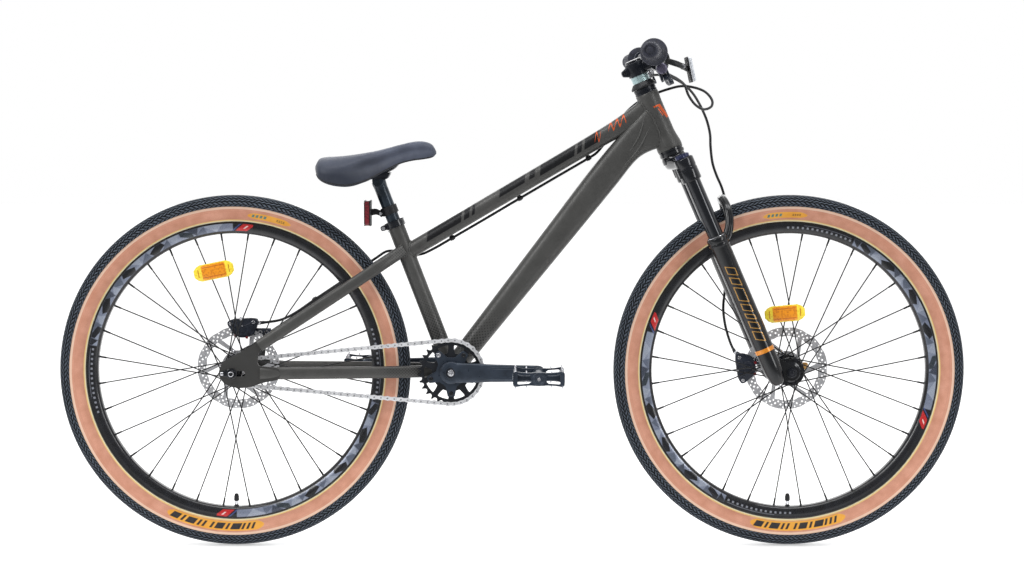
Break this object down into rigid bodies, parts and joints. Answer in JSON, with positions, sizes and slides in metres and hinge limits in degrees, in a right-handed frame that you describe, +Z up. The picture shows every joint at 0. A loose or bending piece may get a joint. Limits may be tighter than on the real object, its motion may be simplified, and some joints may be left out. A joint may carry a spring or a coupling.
{
  "type": "dirt jump bicycle",
  "caption": "Hardtail dirt jump bicycle with suspension fork, disc brakes, single chain drive, flat pedals and low sloping frame.",
  "frame": {"origin": "on the ground, midway between the two wheel axles, on the centre plane", "axes": "+X forward, +Y to the rider's left, +Z up; the drive side faces -Y"},
  "size_m": [1.73, 0.7708, 0.9597],
  "materials": {
    "frame_paint": "satin dark grey-brown with tan and black graphics",
    "black_alloy": "black anodised",
    "fork_paint": "satin black",
    "crank_alloy": "blue-black anodised",
    "grey_alloy": "slate black anodised",
    "ice_alloy": "pale silver anodised",
    "soft_rubber": "matte black rubber",
    "tyre_rubber": "tan side walls with a black tread",
    "tube_rubber": "black butyl",
    "rim_alloy": "black with grey-lilac blocks",
    "spoke_steel": "black stainless",
    "bare_steel": "bright steel",
    "brake_body": "black",
    "pad_metal": "sintered",
    "amber_lens": "amber reflector",
    "red_lens": "red reflector",
    "clear_lens": "white reflector",
    "saddle_cover": "matte synthetic leather",
    "hose_jacket": "black"
  },
  "bodies": {
    "frame": {"frame": "frame_paint", "headset_upper_cup": "black_alloy", "headset_lower_cup": "black_alloy", "bottom_bracket": "black_alloy", "seat_collar": "black_alloy", "rear_axle": "bare_steel", "rear_caliper": "brake_body", "rear_brake_hose": "hose_jacket", "chain": "bare_steel"},
    "steering": {"headset_top_cover": "black_alloy", "headset_spacer": "ice_alloy", "stem": "grey_alloy", "stem_faceplate": "grey_alloy", "steerer_top_cap": "black_alloy", "handlebar": "black_alloy", "grip_right": "soft_rubber", "grip_left": "soft_rubber", "brake_lever_body_right": "brake_body", "brake_lever_body_left": "brake_body", "fork_crown": "fork_paint", "fork_spring": "bare_steel", "front_brake_hose": "hose_jacket"},
    "fork_slider": {"fork_lowers": "fork_paint", "front_axle": "bare_steel", "front_caliper": "brake_body"},
    "front_wheel": {"front_tyre": "tyre_rubber", "front_inner_tube": "tube_rubber", "front_rim": "rim_alloy", "front_spokes_right": "spoke_steel", "front_spokes_left": "spoke_steel", "front_hub": "black_alloy", "front_rotor": "bare_steel", "front_wheel_reflector": "amber_lens"},
    "rear_wheel": {"rear_tyre": "tyre_rubber", "rear_inner_tube": "tube_rubber", "rear_rim": "rim_alloy", "rear_spokes_right": "spoke_steel", "rear_spokes_left": "spoke_steel", "rear_hub": "black_alloy", "rear_rotor": "bare_steel", "rear_wheel_reflector": "amber_lens"},
    "sprocket": {"rear_sprocket": "bare_steel"},
    "cranks": {"crank_right": "crank_alloy", "crank_left": "crank_alloy", "chainring": "crank_alloy"},
    "pedal_r": {"pedal_right": "crank_alloy"},
    "pedal_l": {"pedal_left": "crank_alloy"},
    "lever_r": {"brake_lever_blade_right": "grey_alloy"},
    "lever_l": {"brake_lever_blade_left": "grey_alloy"},
    "pad_front_inner": {"front_pad_inner": "pad_metal"},
    "pad_front_outer": {"front_pad_outer": "pad_metal"},
    "pad_rear_inner": {"rear_pad_inner": "pad_metal"},
    "pad_rear_outer": {"rear_pad_outer": "pad_metal"},
    "seat_post": {"seatpost": "grey_alloy"},
    "seat": {"saddle": "saddle_cover", "saddle_rails": "black_alloy"},
    "reflector_front": {"front_reflector": "clear_lens"},
    "reflector_rear": {"rear_reflector": "red_lens"},
    "preload_knob": {"fork_preload_knob": "grey_alloy"},
    "quick_release": {"axle_lever": "black_alloy"}
  },
  "joints": [
    {"name": "steering_turn", "type": "hinge", "parent": "frame", "child": "steering", "pos_m": [0.30155, 0, 0.75886], "axis": [-0.3955, 0, 0.9184], "range_deg": [-70, 70], "deforming": ["rear_brake_hose"]},
    {"name": "fork_travel", "type": "slide", "parent": "steering", "child": "fork_slider", "axis": [-0.3955, 0, 0.9184], "range_m": [0, 0.1], "stiffness_N_per_m": 6000, "springref_m": -0.025, "deforming": ["fork_spring", "front_brake_hose"]},
    {"name": "front_wheel_spin", "type": "hinge", "parent": "fork_slider", "child": "front_wheel", "pos_m": [0.5295, 0, 0.3355], "axis": [0, 1, 0], "continuous": true},
    {"name": "rear_wheel_spin", "type": "hinge", "parent": "frame", "child": "rear_wheel", "pos_m": [-0.5295, 0, 0.3355], "axis": [0, 1, 0], "continuous": true},
    {"name": "crank_spin", "type": "hinge", "parent": "frame", "child": "cranks", "pos_m": [-0.11536, 0, 0.336], "axis": [0, 1, 0], "continuous": true, "deforming": ["chain"]},
    {"name": "sprocket_spin", "type": "hinge", "parent": "frame", "child": "sprocket", "pos_m": [-0.5295, 0, 0.3355], "axis": [0, 1, 0], "continuous": true},
    {"name": "pedal_right_spin", "type": "hinge", "parent": "cranks", "child": "pedal_r", "pos_m": [0.04964, -0.139, 0.336], "axis": [0, 1, 0], "continuous": true},
    {"name": "pedal_left_spin", "type": "hinge", "parent": "cranks", "child": "pedal_l", "pos_m": [-0.28036, 0.139, 0.336], "axis": [0, 1, 0], "continuous": true},
    {"name": "brake_lever_right", "type": "hinge", "parent": "steering", "child": "lever_r", "pos_m": [0.27718, -0.226, 0.89137], "axis": [-0.9184, 0, -0.3955], "range_deg": [0, 15], "stiffness_Nm_per_rad": 0.6, "springref_deg": -11.46},
    {"name": "brake_lever_left", "type": "hinge", "parent": "steering", "child": "lever_l", "pos_m": [0.27718, 0.226, 0.89137], "axis": [0.9184, 0, 0.3955], "range_deg": [0, 15], "stiffness_Nm_per_rad": 0.6, "springref_deg": -11.46},
    {"name": "front_pad_inner_press", "type": "slide", "parent": "fork_slider", "child": "pad_front_inner", "axis": [0, 1, 0], "range_m": [0, 0.0003]},
    {"name": "front_pad_outer_press", "type": "slide", "parent": "fork_slider", "child": "pad_front_outer", "axis": [0, -1, 0], "range_m": [0, 0.0003]},
    {"name": "rear_pad_inner_press", "type": "slide", "parent": "frame", "child": "pad_rear_inner", "axis": [0, 1, 0], "range_m": [0, 0.0003]},
    {"name": "rear_pad_outer_press", "type": "slide", "parent": "frame", "child": "pad_rear_outer", "axis": [0, -1, 0], "range_m": [0, 0.0003]},
    {"name": "seatpost_height", "type": "slide", "parent": "frame", "child": "seat_post", "axis": [-0.36, 0, 0.933], "range_m": [0, 0.08]},
    {"name": "saddle_tilt", "type": "hinge", "parent": "seat_post", "child": "seat", "pos_m": [-0.25504, 0, 0.69799], "axis": [0, 1, 0], "range_deg": [-10, 10]},
    {"name": "front_reflector_tilt", "type": "hinge", "parent": "steering", "child": "reflector_front", "pos_m": [0.27762, -0.07, 0.92821], "axis": [0, 1, 0], "range_deg": [-20, 20]},
    {"name": "rear_reflector_swivel", "type": "hinge", "parent": "seat_post", "child": "reflector_rear", "pos_m": [-0.23344, 0, 0.64201], "axis": [-0.36, 0, 0.933], "range_deg": [-30, 30]},
    {"name": "preload_knob_turn", "type": "hinge", "parent": "steering", "child": "preload_knob", "pos_m": [0.31935, -0.065, 0.74584], "axis": [-0.3955, 0, 0.9184], "range_deg": [-135, 135]},
    {"name": "axle_lever_swing", "type": "hinge", "parent": "fork_slider", "child": "quick_release", "pos_m": [0.5295, 0.068, 0.3355], "axis": [0, 0, 1], "range_deg": [0, 120]}
  ],
  "couplings": [
    {"joint": "sprocket_spin", "follows": "crank_spin", "ratio": 2.7273},
    {"joint": "front_pad_inner_press", "follows": "brake_lever_left", "m_per_rad": 0.0011458},
    {"joint": "front_pad_outer_press", "follows": "brake_lever_left", "m_per_rad": 0.0011458},
    {"joint": "rear_pad_inner_press", "follows": "brake_lever_right", "m_per_rad": 0.0011458},
    {"joint": "rear_pad_outer_press", "follows": "brake_lever_right", "m_per_rad": 0.0011458}
  ]
}
